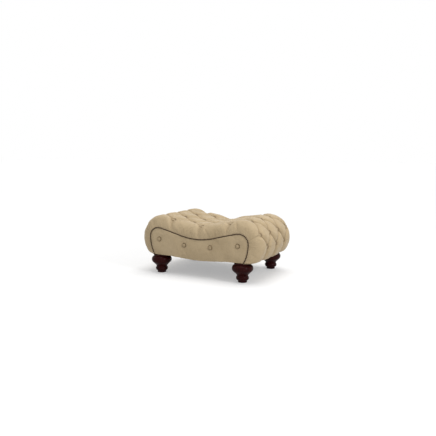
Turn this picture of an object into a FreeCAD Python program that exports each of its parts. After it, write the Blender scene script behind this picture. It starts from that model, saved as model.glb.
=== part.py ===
import FreeCAD, Part
import math
import os

# Buttoned footstool with a saddle top, rolled ends and turned feet.
# Origin on the floor under the centre, X along the length, Y across, Z up.
# Lengths in millimetres, angles in degrees.

# Overall
body_length = 938
facing_spread = 567
peak_height = 410
saddle_depth = 46
underside_height = 131

# Turned feet
foot_inset_x = 149
foot_inset_y = 46.5
foot_top_radius = 53
foot_ring_radius = 56
foot_bulge_radius = 71
foot_waist_radius = 37.5
foot_bead_radius = 43
foot_base_radius = 30.5
foot_ring_height = 9
foot_waist_height = 6
foot_bead_height = 25.5
foot_step_height = 6
foot_base_height = 9.5
foot_cove_depth = 2.5
glide_radius = 21
glide_thickness = 2.5

# Foot fixings
bolt_radius = 4
bolt_clearance = 0.15
bolt_depth_in_foot = 42
bolt_length = 79
nut_barrel_radius = 5.2
nut_barrel_height = 12
nut_flange_radius = 11
nut_flange_thickness = 1.5

# Timber frame
base_rail_thickness = 25
base_rail_width = 67
end_base_rail_width = 75
facing_board_thickness = 18
facing_board_margin = 25
end_board_thickness = 18
end_board_inset = 102
end_board_foam = 74
deck_rail_thickness = 22
deck_rail_height = 45
deck_height = 106
centre_rail_width = 60

# Deck
strap_width = 50
strap_thickness = 2
cross_strap_pitch = 118
long_strap_pitch = 125
deck_cloth_thickness = 1
dust_cloth_thickness = 1
dust_cloth_margin = 12
dust_cloth_foot_gap = 2

# Crown outline of the cover and the roll at its ends
end_undercut = 52.71
seat_border = 61.5
cover_wall = 36
end_sag = 6

# Trim outline in the facing plane
trim_drop = 84
trim_saddle_depth = 59.5
trim_peak_offset = 9
trim_peak_radius = 150
trim_corner_radius = 64
trim_side_radius = 263
trim_rim = 4
nail_strip_width = 9
nail_strip_height = 4

# Facing panels
panel_back_depth = 13.3
panel_crown = 6
panel_edge_drop = 0.8
panel_backing_thickness = 4
panel_wrap = 4
apron_drop = 11
apron_rise = 12
apron_foot_gap = 24
apron_shoulder_radius = 150
panel_button_margin = 76
panel_button_drop_inner = 47.9
panel_button_drop_outer = 80
dimple_radius = 32
dimple_depth = 5

# Buttons and tufts
button_radius = 12.5
button_stem_radius = 6
button_rim_height = 3.8
button_shoulder_height = 7.4
button_height = 9
button_depth = 20
fold_depth = 11
seat_half_width = 7
seat_hollow = 0.8

# Foam
roll_foam_clearance = 22

# Clearances
soft_gap = 0.3
overrun = 5
flat_arc = 0.02

# Shares chosen by hand
saddle_slope_share = 1.45
trim_slope_share = 1.345
apron_slope_share = 1.4
button_row_shares = (0, 0.158, 0.325, 0.495, 0.69, 0.835, 1)
trim_row_shares = (0, 0.186, 0.38, 0.595, 0.715, 0.82, 1)
border_angle_shares = (1 / 3, 0.61, 0.83, 1)
border_pleat_shares = (1, 0.9, 0.6, 0)
skirt_share = 0.3
half_crown_share = 0.2
bottom_pleat_share = 0.4
tuck_share = 0.15
foot_taper_share = 0.75
foot_hip_share = 0.875
foot_bead_foot_share = 0.875
button_shoulder_share = 0.76
button_top_share = 0.36
panel_step_shares = (0.75, 1)
panel_inset_shares = (0.3, 0.75)
button_sides = 10

facing_y = facing_spread / 2
end_x = body_length / 2
board_face_y = facing_y - panel_back_depth
board_back_y = board_face_y - facing_board_thickness
foot_x = end_x - foot_inset_x
foot_y = facing_y - foot_inset_y
end_board_x = end_x - end_board_inset
end_board_inner_x = end_board_x - end_board_thickness
end_board_top = peak_height - cover_wall - end_board_foam
rail_top = underside_height + base_rail_thickness
deck_z = underside_height + deck_height
cloth_z = deck_z + 2 * strap_thickness
cover_bottom = underside_height + soft_gap
outer_row_y = facing_y - seat_border
row_pitch = outer_row_y / 3
roll_height = peak_height - cover_bottom
roll_radius = roll_height + end_undercut - math.sqrt(2 * roll_height * end_undercut)
roll_x = end_x - roll_radius
roll_z = peak_height - roll_radius
saddle_height = peak_height - saddle_depth
trim_peak_x = roll_x + trim_peak_offset
trim_peak_height = peak_height - trim_drop
trim_saddle_height = trim_peak_height - trim_saddle_depth
apron_height = underside_height - apron_drop
apron_half_run = foot_x - foot_bulge_radius - apron_foot_gap


def at(x, y, z):
    return FreeCAD.Vector(x, y, z)


def box(x0, x1, y0, y1, z0, z1):
    return Part.makeBox(x1 - x0, y1 - y0, z1 - z0, at(x0, y0, z0))


def rod(x, y, z0, z1, radius):
    return Part.makeCylinder(radius, z1 - z0, at(x, y, z0))


def save(name, shape):
    shape.exportStep("parts/" + name + ".step")


# An outline is a list of spans in the X-Z plane: a line has two points, an arc has three.
def on_circle(centre, radius, angle):
    turn = math.radians(angle)
    return (centre[0] + radius * math.cos(turn), centre[1] + radius * math.sin(turn))


def arc_span(centre, radius, start, end):
    return tuple(on_circle(centre, radius, angle) for angle in (start, (start + end) / 2, end))


def mirrored(spans):
    return [tuple((-x, z) for x, z in reversed(span)) for span in reversed(spans)]


def turned_back(spans):
    return [tuple(reversed(span)) for span in reversed(spans)]


def edge_at(span, y):
    points = [at(x, y, z) for x, z in span]
    if points[len(points) // 2].distanceToLine(points[0], points[-1] - points[0]) < flat_arc:
        return Part.LineSegment(points[0], points[-1]).toShape()
    return Part.Arc(points[0], points[1], points[2]).toShape()


def wire_at(spans, y):
    return Part.Wire([edge_at(span, y) for span in spans])


def plate(spans, y0, y1):
    return Part.Face(wire_at(spans, y0)).extrude(at(0, y1 - y0, 0))


# Half of a saddle line from the centre to its peak, moved inwards by inset.
def saddle_spans(centre_z, peak_x, peak_z, peak_radius, slope_share, inset):
    rise = peak_z - centre_z
    slope = math.atan(slope_share * rise / peak_x)
    both_radii = (slope_share - 1) * rise * math.cos(slope) / (1 - math.cos(slope))
    hollow_radius = both_radii - peak_radius
    tilt = math.degrees(slope)
    hollow = arc_span((0, centre_z + hollow_radius), hollow_radius + inset, -90, -90 + tilt)
    peak = arc_span((peak_x, peak_z - peak_radius), peak_radius - inset, 90 + tilt, 90)
    return [hollow, (hollow[-1], peak[0]), peak]


# Half of the cover's crown outline, centre to the bottom of the end roll.
def crown_half(inset, bottom_z):
    spans = saddle_spans(saddle_height, roll_x, peak_height, roll_radius, saddle_slope_share, inset)
    radius = roll_radius - inset
    end_angle = -math.degrees(math.asin((roll_z - bottom_z) / radius))
    return spans + [arc_span((roll_x, roll_z), radius, 90, end_angle)]


# Half of the trim line, centre to the bottom of its side.
def trim_half(inset, bottom_z):
    spans = saddle_spans(trim_saddle_height, trim_peak_x, trim_peak_height, trim_peak_radius,
                         trim_slope_share, inset)
    corner_z = trim_peak_height - trim_corner_radius
    side_x = trim_peak_x + trim_corner_radius - trim_side_radius
    side_radius = trim_side_radius - inset
    end_angle = -math.degrees(math.asin((corner_z - bottom_z) / side_radius))
    spans.append(arc_span((trim_peak_x, corner_z), trim_corner_radius - inset, 90, 0))
    spans.append(arc_span((side_x, corner_z), side_radius, 0, end_angle))
    return spans


# Closed outline of a facing piece: the trim line above and the curved apron below.
def facing_outline(inset, lift):
    shoulder_z = apron_height + apron_rise + lift
    top = trim_half(inset, shoulder_z)
    apron = saddle_spans(apron_height, apron_half_run, apron_height + apron_rise,
                         apron_shoulder_radius, apron_slope_share, -lift)
    bottom = apron + [(apron[-1][-1], top[-1][-1])]
    return mirrored(top) + top + turned_back(bottom) + turned_back(mirrored(bottom))


def walk(spans, share):
    edges = [edge_at(span, 0) for span in spans]
    rest = share * sum(edge.Length for edge in edges)
    for edge in edges[:-1]:
        if rest <= edge.Length:
            break
        rest -= edge.Length
    else:
        edge = edges[-1]
    place = edge.getParameterByLength(min(rest, edge.Length))
    point = edge.valueAt(place)
    along = edge.tangentAt(place)
    return (point.x, point.z), (-along.z, along.x)


crown_spans = crown_half(0, cover_bottom)
trim_spans = trim_half(0, cover_bottom)
seat_share = seat_half_width / sum(edge_at(span, 0).Length for span in crown_spans)


def crown_point(share, depth):
    point, normal = walk(crown_spans, share)
    return (point[0] - depth * normal[0], point[1] - depth * normal[1])


# The same place on the trim line as a share of the crown outline, moved outwards by rim.
def trim_point(share, rim):
    row = max(i for i in range(len(button_row_shares) - 1) if button_row_shares[i] <= share)
    low, high = button_row_shares[row:row + 2]
    part = (share - low) / (high - low)
    low, high = trim_row_shares[row:row + 2]
    point, normal = walk(trim_spans, low + part * (high - low))
    return (point[0] + rim * normal[0], point[1] + rim * normal[1])


# How far the buttons of one row pull the cover in, from 0 on a crown to 1 at a button.
def row_pull(row, odd_pull):
    return odd_pull if row % 2 else 1 - odd_pull


# The fold line between a row and the next: its share of the crown outline and its depth.
def fold_place(row, odd_pull):
    pull = row_pull(row, odd_pull)
    here, there = button_row_shares[row:row + 2]
    if row == len(button_row_shares) - 2:
        reach = here + seat_share + (1 - pull) * skirt_share * (there - here)
        return reach, button_depth * pull ** 2
    reach = here + seat_share + (1 - pull) * (there - here - 2 * seat_share)
    return reach, fold_depth + (button_depth - fold_depth) * (2 * pull - 1) ** 2


# Five shares and depths across one pillow or button seat, from the fold before it to the one after.
def pillow_points(row, odd_pull):
    pull = row_pull(row, odd_pull)
    last = len(button_row_shares) - 1
    if row == 0:
        end, depth = fold_place(0, odd_pull)
        start = (-end, depth)
        end = (end, depth)
    elif row == last:
        pull = row_pull(row - 1, odd_pull)
        start = fold_place(row - 1, odd_pull)
        end = (1, button_depth * (tuck_share + (bottom_pleat_share - tuck_share) * pull ** 2))
    else:
        start = fold_place(row - 1, odd_pull)
        end = fold_place(row, odd_pull)
    middle_share = (start[0] + end[0]) / 2
    if row == last:
        middle_depth = start[1] / 2 + end[1] / 2 - seat_hollow
    elif pull == 1:
        middle_depth = button_depth + seat_hollow
    else:
        middle_depth = button_depth * half_crown_share * 2 * pull
    points = [signed_crown_point(start[0], start[1]), signed_crown_point(middle_share, middle_depth),
              signed_crown_point(end[0], end[1])]
    arc = edge_at(points, 0)
    first, final = arc.ParameterRange
    steps = [first + (final - first) * quarter / 4 for quarter in range(5)]
    places = [(arc.valueAt(step).x, arc.valueAt(step).z) for step in steps]
    shares = [start[0] + (end[0] - start[0]) * quarter / 4 for quarter in range(5)]
    return places, shares


def signed_crown_point(share, depth):
    x, z = crown_point(abs(share), depth)
    return (-x, z) if share < 0 else (x, z)


def signed_trim_point(share, rim):
    x, z = trim_point(abs(share), rim)
    return (-x, z) if share < 0 else (x, z)


def half_spans(points):
    return [tuple(points[0:3]), tuple(points[2:5])]


# One closed section of the cover, from pillows and seats over the right half, mirrored to the left.
def closed_section(pillows):
    centre = half_spans(pillows[0])
    right = []
    for pillow in pillows[1:]:
        right.extend(half_spans(pillow))
    spans = mirrored(right) + centre + right
    spans.append((spans[-1][-1], spans[0][0]))
    return spans


def middle_section(step):
    odd_pull = (1, 1 / 2, 0, 1 / 2)[step % 4]
    pillows = [pillow_points(row, odd_pull)[0] for row in range(len(button_row_shares))]
    sag = end_sag * math.cos(math.pi / 2 * step * row_pitch / 2 / outer_row_y)
    pillows[-1] = [(x, z - sag * quarter / 4) for quarter, (x, z) in enumerate(pillows[-1])]
    return closed_section(pillows)


def border_section(angle_share, pleat_share):
    turn = math.pi / 2 * angle_share
    pillows = []
    for row in range(len(button_row_shares)):
        places, shares = pillow_points(row, 0)
        pillow = []
        pleat = row % 2 == 0 and row < len(button_row_shares) - 2
        folded = [row < len(button_row_shares) - 1, pleat, pleat, pleat, row < len(button_row_shares) - 2]
        for place, share, sunk in zip(places, shares, folded):
            base = signed_trim_point(share, trim_rim * angle_share ** 4)
            extra = max(0, pleat_share - math.cos(turn)) * button_depth if sunk else 0
            point, normal = walk(crown_spans, abs(share))
            side = -1 if share < 0 else 1
            x = base[0] + (place[0] - base[0]) * math.cos(turn) - extra * normal[0] * side
            z = base[1] + (place[1] - base[1]) * math.cos(turn) - extra * normal[1]
            pillow.append((x, z))
        pillows.append(pillow)
    return closed_section(pillows)


def cover_outer():
    steps = [(step * row_pitch / 2, middle_section(step)) for step in range(7)]
    for angle_share, pleat_share in zip(border_angle_shares, border_pleat_shares):
        y = outer_row_y + (facing_y - outer_row_y) * math.sin(math.pi / 2 * angle_share)
        steps.append((y, border_section(angle_share, pleat_share)))
    wires = [wire_at(spans, -y) for y, spans in reversed(steps[1:])]
    wires += [wire_at(spans, y) for y, spans in steps]
    return Part.makeLoft(wires, True, True)


# Closed trim outline with a straight foot below the cover, for the openings that the cover leaves.
def tunnel_outline(inset):
    half = trim_half(inset, cover_bottom - overrun)
    spans = mirrored(half) + half
    return spans + [(spans[-1][-1], spans[0][0])]


def roll_outline(inset):
    half = crown_half(inset, underside_height + roll_foam_clearance)
    spans = mirrored(half) + half
    return spans + [(spans[-1][-1], spans[0][0])]


def both_faces(outline, near_y, far_y):
    return [plate(outline, near_y, far_y), plate(outline, -far_y, -near_y)]


# The cover with its wadding: the tufted form, hollow over the foam, the boards and the panels.
def tufted_cover():
    board_margin = facing_board_margin + soft_gap
    frame_x = end_board_x + soft_gap
    frame_y = board_face_y + soft_gap
    hollow = [plate(roll_outline(cover_wall), -board_back_y, board_back_y)]
    hollow.append(box(-frame_x, frame_x, -frame_y, frame_y, cover_bottom - overrun,
                      underside_height + roll_foam_clearance))
    hollow += both_faces(tunnel_outline(-board_margin), board_back_y - soft_gap, frame_y)
    hollow += both_faces(tunnel_outline(0), board_face_y, facing_y + overrun)
    return cover_outer().cut(hollow)


# The crown outline less the cover, between the facing boards.
def foam_block():
    reach = board_back_y - soft_gap
    return plate(roll_outline(cover_wall + soft_gap), -reach, reach)


def seat_foam():
    under = cloth_z + deck_cloth_thickness + soft_gap
    wide = end_x + overrun
    notch_x = end_board_inner_x - soft_gap
    notch_z = end_board_top + soft_gap
    waste = [box(-wide, wide, -facing_y, facing_y, 0, under)]
    for side in (-1, 1):
        waste.append(box(*sorted((side * notch_x, side * wide)), -facing_y, facing_y, 0, notch_z))
        waste.append(box(*sorted((side * end_board_x, side * wide)), -facing_y, facing_y, 0, peak_height))
    return foam_block().cut(waste)


def roll_foam(side):
    near = end_board_x + soft_gap
    keep = box(*sorted((side * near, side * (end_x + overrun))), -facing_y, facing_y, 0, peak_height)
    return foam_block().common(keep)


# Facings: the boards of the frame, the padded panels on them and the nail strips round these.
def facing_board(side):
    outline = facing_outline(-facing_board_margin, panel_wrap)
    return plate(outline, side * board_back_y, side * board_face_y)


def panel_backing(side):
    outline = facing_outline(panel_wrap, panel_wrap)
    return plate(outline, side * board_face_y, side * (board_face_y + panel_backing_thickness))


def panel_pad(side):
    flat_inset = nail_strip_width / 2 + soft_gap
    sections = [(soft_gap, board_face_y + soft_gap), (soft_gap, facing_y - panel_edge_drop)]
    sections.append((flat_inset, facing_y))
    for step, inset in zip(panel_step_shares, panel_inset_shares):
        sections.append((inset * trim_corner_radius, facing_y + step * panel_crown))
    wires = [wire_at(facing_outline(inset, inset), side * y) for inset, y in sections]
    pad = Part.makeLoft(wires, True, True)
    recess = plate(facing_outline(panel_wrap - soft_gap, panel_wrap - soft_gap), side * board_face_y,
                   side * (board_face_y + panel_backing_thickness + soft_gap))
    ball_radius = (dimple_radius ** 2 + dimple_depth ** 2) / 2 / dimple_depth
    ball_y = facing_y + panel_crown - dimple_depth + ball_radius
    waste = [Part.makeSphere(ball_radius, at(x, side * ball_y, z)) for x, z in panel_button_places()]
    return pad.cut([recess] + waste)


def panel_button_places():
    outer = trim_peak_x + trim_corner_radius - panel_button_margin
    outer_z = trim_peak_height - panel_button_drop_outer
    inner_z = trim_saddle_height - panel_button_drop_inner
    return [(-outer, outer_z), (-outer / 3, inner_z), (outer / 3, inner_z), (outer, outer_z)]


def nail_strip(side):
    half = trim_half(0, cover_bottom)
    y = side * (facing_y + soft_gap)
    path = wire_at(mirrored(half) + half, y)
    x, z = half[-1][-1]
    normal = walk(half, 1)[1]
    inner = at(-x + normal[0] * nail_strip_width / 2, y, z - normal[1] * nail_strip_width / 2)
    outer = at(-x - normal[0] * nail_strip_width / 2, y, z + normal[1] * nail_strip_width / 2)
    crest = at(-x, y + side * nail_strip_height, z)
    profile = Part.Wire([Part.LineSegment(outer, inner).toShape(), Part.Arc(inner, crest, outer).toShape()])
    return path.makePipeShell([profile], True, False)


# Covered buttons: a cone behind, a rim and a rounded face, standing on z = 0.
def button():
    rings = [(button_stem_radius, 0), (button_radius, button_rim_height),
             (button_radius * button_shoulder_share, button_shoulder_height),
             (button_radius * button_top_share, button_height)]
    wires = []
    for radius, z in rings:
        corners = [on_circle((0, 0), radius, 360 * corner / button_sides) for corner in range(button_sides)]
        corners.append(corners[0])
        wires.append(Part.makePolygon([at(x, y, z) for x, y in corners]))
    return Part.makeLoft(wires, True, True)


def placed_button(point, outward):
    turn = FreeCAD.Rotation(at(0, 0, 1), outward)
    return button().transformed(FreeCAD.Placement(point, turn).toMatrix())


def cover_buttons():
    seat_depth = button_depth + seat_hollow
    slope = (seat_depth - button_depth * half_crown_share) / (row_pitch / 2)
    depth = seat_depth - soft_gap - slope * button_stem_radius
    buttons = []
    for row, share in enumerate(button_row_shares[:-1]):
        spots = (-2, 0, 2) if row % 2 else (-3, -1, 1, 3)
        point, normal = walk(crown_spans, share)
        place = crown_point(share, depth)
        for side in (-1, 1) if row else (1,):
            for spot in spots:
                outward = at(side * normal[0], 0, normal[1])
                buttons.append(placed_button(at(side * place[0], spot * row_pitch, place[1]), outward))
    return Part.makeCompound(buttons)


def panel_buttons(side):
    y = side * (facing_y + panel_crown - dimple_depth + soft_gap)
    return Part.makeCompound([placed_button(at(x, y, z), at(0, side, 0)) for x, z in panel_button_places()])


# Timber base, end boards and the rails that carry the webbing.
def front_base_rail(side):
    ys = sorted((side * (board_back_y - base_rail_width), side * board_back_y))
    rail = box(-end_board_x, end_board_x, *ys, underside_height, rail_top)
    hole = nut_barrel_radius + bolt_clearance
    return rail.cut([rod(x, side * foot_y, 0, peak_height, hole) for x in (-foot_x, foot_x)])


def end_base_rail(side):
    xs = sorted((side * (end_board_x - end_base_rail_width), side * end_board_x))
    reach = board_back_y - base_rail_width
    return box(*xs, -reach, reach, underside_height, rail_top)


def centre_rail():
    reach = board_back_y - base_rail_width
    return box(-centre_rail_width / 2, centre_rail_width / 2, -reach, reach, underside_height, rail_top)


def end_board(side):
    xs = sorted((side * end_board_inner_x, side * end_board_x))
    return box(*xs, -board_back_y, board_back_y, rail_top, end_board_top)


def front_deck_rail(side):
    ys = sorted((side * (board_back_y - deck_rail_thickness), side * board_back_y))
    reach = end_board_inner_x - deck_rail_thickness
    return box(-reach, reach, *ys, deck_z - deck_rail_height, deck_z)


def end_deck_rail(side):
    xs = sorted((side * (end_board_inner_x - deck_rail_thickness), side * end_board_inner_x))
    return box(*xs, -board_back_y, board_back_y, deck_z - deck_rail_height, deck_z)


# Webbing and cloths
def cross_webbing():
    half = strap_width / 2
    straps = [box(place * cross_strap_pitch - half, place * cross_strap_pitch + half, -board_back_y,
                  board_back_y, deck_z, deck_z + strap_thickness) for place in (-2, -1, 0, 1, 2)]
    return Part.makeCompound(straps)


def long_webbing():
    half = strap_width / 2
    straps = [box(-end_board_inner_x, end_board_inner_x, place * long_strap_pitch - half,
                  place * long_strap_pitch + half, deck_z + strap_thickness, cloth_z) for place in (-1, 0, 1)]
    return Part.makeCompound(straps)


def deck_cloth():
    return box(-end_board_inner_x, end_board_inner_x, -board_back_y, board_back_y, cloth_z,
               cloth_z + deck_cloth_thickness)


def dust_cloth():
    x = end_board_x - dust_cloth_margin
    y = board_back_y - dust_cloth_margin
    cloth = box(-x, x, -y, y, underside_height - dust_cloth_thickness, underside_height)
    radius = foot_ring_radius + dust_cloth_foot_gap
    corners = [rod(sx * foot_x, sy * foot_y, 0, peak_height, radius) for sx in (-1, 1) for sy in (-1, 1)]
    return cloth.cut(corners)


# Turned foot: ring, bulge, waist, bead and base, worked down from the frame.
def foot_profile():
    ring_z = underside_height - foot_ring_height
    base_z = glide_thickness + foot_base_height
    step_z = base_z + foot_step_height
    bead_z = step_z + foot_bead_height
    waist_z = bead_z + foot_waist_height
    bulge_z = waist_z + (foot_bulge_radius - foot_waist_radius) * foot_taper_share
    bulge_top = ring_z - foot_cove_depth
    shoulder = foot_top_radius + foot_cove_depth
    hip = foot_bulge_radius * foot_hip_share
    bead_foot = foot_bead_radius * foot_bead_foot_share
    bore = bolt_radius + bolt_clearance
    bore_z = underside_height - bolt_depth_in_foot
    cove = (hip + foot_waist_radius) / 2 - foot_cove_depth / 2
    spans = [((0, glide_thickness), (foot_base_radius, glide_thickness)),
             ((foot_base_radius, glide_thickness), (foot_base_radius, base_z)),
             ((foot_base_radius, base_z), (foot_base_radius + foot_cove_depth / 2, (base_z + step_z) / 2),
              (bead_foot - foot_cove_depth, step_z)),
             ((bead_foot - foot_cove_depth, step_z), (bead_foot, step_z)),
             ((bead_foot, step_z), (foot_bead_radius, (step_z + bead_z) / 2), (foot_waist_radius, bead_z)),
             ((foot_waist_radius, bead_z), (foot_waist_radius, waist_z)),
             ((foot_waist_radius, waist_z), (cove, (waist_z + bulge_z) / 2), (hip, bulge_z)),
             ((hip, bulge_z), (foot_bulge_radius, (bulge_z + bulge_top) / 2), (shoulder, bulge_top)),
             ((shoulder, bulge_top), (foot_top_radius, ring_z)),
             ((foot_top_radius, ring_z), (foot_ring_radius, (ring_z + underside_height) / 2),
              (foot_top_radius, underside_height)),
             ((foot_top_radius, underside_height), (bore, underside_height)),
             ((bore, underside_height), (bore, bore_z)),
             ((bore, bore_z), (0, bore_z)),
             ((0, bore_z), (0, glide_thickness))]
    return spans


def spun(spans, x, y):
    solid = Part.Face(wire_at(spans, 0)).revolve(at(0, 0, 0), at(0, 0, 1), 360)
    solid.translate(at(x, y, 0))
    return solid


def foot(x, y):
    return spun(foot_profile(), x, y)


def foot_glide(x, y):
    bevel = glide_thickness / 2
    points = [(0, 0), (glide_radius - bevel, 0), (glide_radius, bevel), (glide_radius, glide_thickness),
              (0, glide_thickness), (0, 0)]
    return spun(list(zip(points, points[1:])), x, y)


def hanger_bolt(x, y):
    start = underside_height - bolt_depth_in_foot + soft_gap
    return rod(x, y, start, start + bolt_length, bolt_radius)


def tee_nut(x, y):
    barrel = rod(x, y, rail_top - nut_barrel_height, rail_top, nut_barrel_radius)
    flange = rod(x, y, rail_top, rail_top + nut_flange_thickness, nut_flange_radius)
    bore = rod(x, y, 0, peak_height, bolt_radius + bolt_clearance)
    return barrel.fuse(flange).cut(bore)


os.makedirs("parts", exist_ok=True)

save("tufted_cover", tufted_cover())
save("seat_foam", seat_foam())
save("centre_rail", centre_rail())
save("cross_webbing", cross_webbing())
save("long_webbing", long_webbing())
save("deck_cloth", deck_cloth())
save("dust_cloth", dust_cloth())
save("cover_buttons", cover_buttons())

for end_name, side in (("left", -1), ("right", 1)):
    save(end_name + "_roll_foam", roll_foam(side))
    save(end_name + "_base_rail", end_base_rail(side))
    save(end_name + "_end_board", end_board(side))
    save(end_name + "_deck_rail", end_deck_rail(side))

for face_name, side in (("front", -1), ("back", 1)):
    save(face_name + "_base_rail", front_base_rail(side))
    save(face_name + "_deck_rail", front_deck_rail(side))
    save(face_name + "_facing_board", facing_board(side))
    save(face_name + "_panel_backing", panel_backing(side))
    save(face_name + "_panel_pad", panel_pad(side))
    save(face_name + "_panel_buttons", panel_buttons(side))
    save(face_name + "_nail_strip", nail_strip(side))

corners = []
for face_name, side_y in (("front", -1), ("back", 1)):
    for end_name, side_x in (("left", -1), ("right", 1)):
        x, y = side_x * foot_x, side_y * foot_y
        corners.append((x, y))
        save(face_name + "_" + end_name + "_foot", foot(x, y))
        save(face_name + "_" + end_name + "_glide", foot_glide(x, y))
save("hanger_bolts", Part.makeCompound([hanger_bolt(x, y) for x, y in corners]))
save("tee_nuts", Part.makeCompound([tee_nut(x, y) for x, y in corners]))
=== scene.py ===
import bpy
import math
import numpy as np
from mathutils import Matrix, Vector


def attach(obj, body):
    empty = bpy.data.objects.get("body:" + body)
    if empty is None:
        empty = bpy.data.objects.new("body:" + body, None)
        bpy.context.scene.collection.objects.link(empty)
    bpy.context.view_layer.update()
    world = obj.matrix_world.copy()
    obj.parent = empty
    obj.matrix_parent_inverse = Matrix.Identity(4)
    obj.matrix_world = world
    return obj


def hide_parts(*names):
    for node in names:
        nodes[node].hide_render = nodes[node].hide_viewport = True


# Buttoned leather footstool. Metres, on the CAD frame: X along the length, Z up.

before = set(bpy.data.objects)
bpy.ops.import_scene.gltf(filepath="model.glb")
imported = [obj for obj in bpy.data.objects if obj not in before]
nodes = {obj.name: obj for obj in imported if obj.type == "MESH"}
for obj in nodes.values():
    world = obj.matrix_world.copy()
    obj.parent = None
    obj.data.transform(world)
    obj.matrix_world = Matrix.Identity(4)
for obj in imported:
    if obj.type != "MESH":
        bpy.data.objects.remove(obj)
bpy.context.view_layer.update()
print("frame loaded,", len(nodes), "CAD nodes")


def deselectAll():
    if bpy.context.object is not None and bpy.context.object.mode != "OBJECT":
        bpy.ops.object.mode_set(mode="OBJECT")
    bpy.ops.object.select_all(action="DESELECT")


def makeActive(obj):
    deselectAll()
    obj.select_set(True)
    bpy.context.view_layer.objects.active = obj


def assign(target, values):
    for key, value in values.items():
        setattr(target, key, value)


def runModifier(obj, kind, **values):
    makeActive(obj)
    modifier = obj.modifiers.new(kind.lower(), kind)
    assign(modifier, values)
    bpy.ops.object.modifier_apply(modifier=modifier.name)


def settle(obj):  # place goes into the mesh
    makeActive(obj)
    bpy.ops.object.transform_apply(location=True, rotation=True, scale=True)
    bpy.ops.object.shade_smooth_by_angle(angle=math.radians(40))


def readVectors(items, field):
    flat = np.zeros(len(items) * 3, np.float32)
    items.foreach_get(field, flat)
    return flat.reshape(-1, 3).astype(float)


def getPoints(obj):
    return readVectors(obj.data.vertices, "co")


def getNormals(obj):
    return readVectors(obj.data.vertex_normals, "vector")


def setPoints(obj, where):
    obj.data.vertices.foreach_set("co", np.asarray(where, np.float32).ravel())
    obj.data.update()


def setValue(obj, name, values):  # a value per point, for materials and later steps
    layer = obj.data.attributes.get(name) or obj.data.attributes.new(name, "FLOAT", "POINT")
    layer.data.foreach_set("value", np.asarray(values, np.float32).ravel())


def getValue(obj, name):
    values = np.zeros(len(obj.data.vertices), np.float32)
    obj.data.attributes[name].data.foreach_get("value", values)
    return values.astype(float)


def addObject(name, data):
    obj = bpy.data.objects.new(name, data)
    bpy.context.scene.collection.objects.link(obj)
    return obj


def editAll(obj):  # into edit mode with every face selected
    makeActive(obj)
    bpy.ops.object.mode_set(mode="EDIT")
    bpy.ops.mesh.select_mode(type="FACE")
    bpy.ops.mesh.select_all(action="SELECT")


def leaveEdit():
    bpy.ops.object.mode_set(mode="OBJECT")


def outwardNormals(obj):
    editAll(obj)
    bpy.ops.mesh.normals_make_consistent(inside=False)
    leaveEdit()


def nodeCopy(node, name):  # a merged copy of a CAD node, to be worked on
    obj = addObject(name, nodes[node].data.copy())
    obj.data.materials.clear()
    editAll(obj)
    bpy.ops.mesh.remove_doubles(threshold=0.00002)
    leaveEdit()
    bpy.ops.mesh.customdata_custom_splitnormals_clear()
    return obj


def turned(shape):  # rings of (radius, height), extruded one from the other
    rings = shape["rings"]
    deselectAll()
    bpy.ops.mesh.primitive_circle_add(vertices=shape["sides"], radius=rings[0][0], fill_type="NGON",
                                      location=(0, 0, rings[0][1]))
    obj = bpy.context.object
    editAll(obj)
    for (radius, height), (nextRadius, nextHeight) in zip(rings, rings[1:]):
        bpy.ops.mesh.extrude_region_move(TRANSFORM_OT_translate={"value": (0, 0, nextHeight - height)})
        share = nextRadius / radius
        bpy.ops.transform.resize(value=(share, share, 1), center_override=(0, 0, nextHeight))
    leaveEdit()
    settle(obj)
    outwardNormals(obj)
    return obj


def joined(parts, name):
    deselectAll()
    for part in parts:
        part.select_set(True)
    bpy.context.view_layer.objects.active = parts[0]
    bpy.ops.object.join()
    parts[0].name = name
    return parts[0]


def placedCopies(source, name, places):
    parts = []
    for place in places:
        part = addObject(name, source.data.copy())
        part.data.transform(place)
        parts.append(part)
    bpy.data.objects.remove(source)
    return joined(parts, name)


def facing(point, outward, spin):  # stands a copy on a point, its own Z along outward
    turn = Vector((0, 0, 1)).rotation_difference(Vector(outward)).to_matrix().to_4x4()
    return Matrix.Translation(Vector(point)) @ turn @ Matrix.Rotation(spin, 4, "Z")


def giveMaterial(obj, material):
    obj.data.materials.clear()
    obj.data.materials.append(material)


def finishPiece(obj, slot, material, *replaced):
    giveMaterial(obj, material)
    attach(obj, "root")
    if replaced:
        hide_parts(*replaced)


# Outlines that the CAD part is built on, as rows of (x, z) points
outline = {
    "bodyEnd": 0.469, "peak": 0.410, "saddle": 0.364, "bottom": 0.1313, "rollRadius": 0.160,
    "crownSlope": 1.45, "trimPeakX": 0.318, "trimPeak": 0.326, "trimSaddle": 0.2665,
    "trimPeakRadius": 0.150, "trimSlope": 1.345, "trimCorner": 0.064, "trimSide": 0.263,
    "apron": 0.120, "apronRise": 0.012, "apronRun": 0.225, "apronShoulder": 0.150, "apronSlope": 1.4,
    "facingY": 0.2835, "outerRowY": 0.222, "rowPitch": 0.074,
    "rowShares": (0, 0.158, 0.325, 0.495, 0.69, 0.835, 1),
    "trimShares": (0, 0.186, 0.38, 0.595, 0.715, 0.82, 1),
}


def arcPoints(centreX, centreZ, radius, start, end, count=90):
    angles = np.radians(np.linspace(start, end, count))
    return np.stack([centreX + radius * np.cos(angles), centreZ + radius * np.sin(angles)], 1)


def saddlePoints(middleZ, peakX, peakZ, peakRadius, slopeShare, inset):
    rise = peakZ - middleZ
    slope = math.atan(slopeShare * rise / peakX)
    bothRadii = (slopeShare - 1) * rise * math.cos(slope) / (1 - math.cos(slope))
    hollow = bothRadii - peakRadius
    tilt = math.degrees(slope)
    return np.concatenate([
        arcPoints(0, middleZ + hollow, hollow + inset, -90, -90 + tilt),
        arcPoints(peakX, peakZ - peakRadius, peakRadius - inset, 90 + tilt, 90)])


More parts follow.
